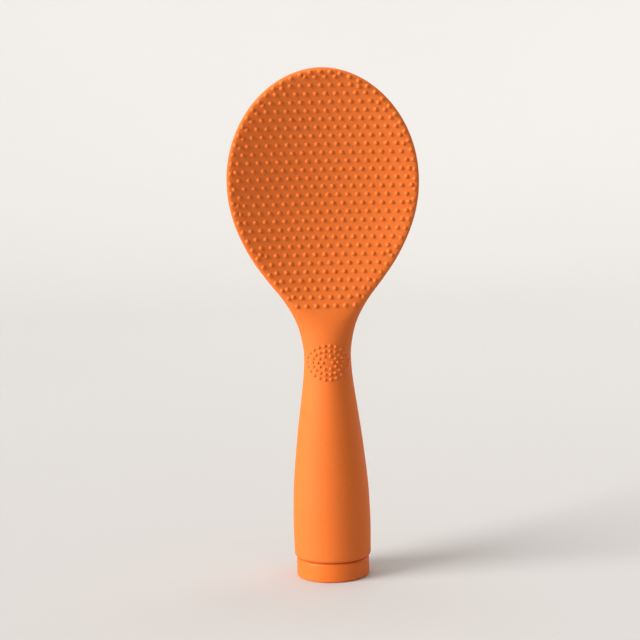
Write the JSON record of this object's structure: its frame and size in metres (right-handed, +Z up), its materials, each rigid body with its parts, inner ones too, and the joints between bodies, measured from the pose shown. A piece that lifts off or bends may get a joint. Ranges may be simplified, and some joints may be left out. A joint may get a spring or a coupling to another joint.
{
  "type": "rice paddle",
  "caption": "Self-standing rice paddle: dished blade with raised dots on a round weighted handle with a flat foot.",
  "frame": {"origin": "middle of the underside of the foot", "axes": "+Z up along the handle to the blade, -Y the front that the blade's hollow side faces"},
  "size_m": [0.0772, 0.0428, 0.212],
  "materials": {
    "silicone_orange": "matte",
    "nylon_orange": "matte",
    "nylon_core": "matte",
    "steel_weight": "satin",
    "rubber_ring": "matte"
  },
  "bodies": {
    "root": {"silicone_jacket": "silicone_orange", "handle_core": "nylon_core", "foot_cap": "nylon_orange", "seal_ring": "rubber_ring", "handle_weight": "steel_weight"}
  },
  "joints": []
}
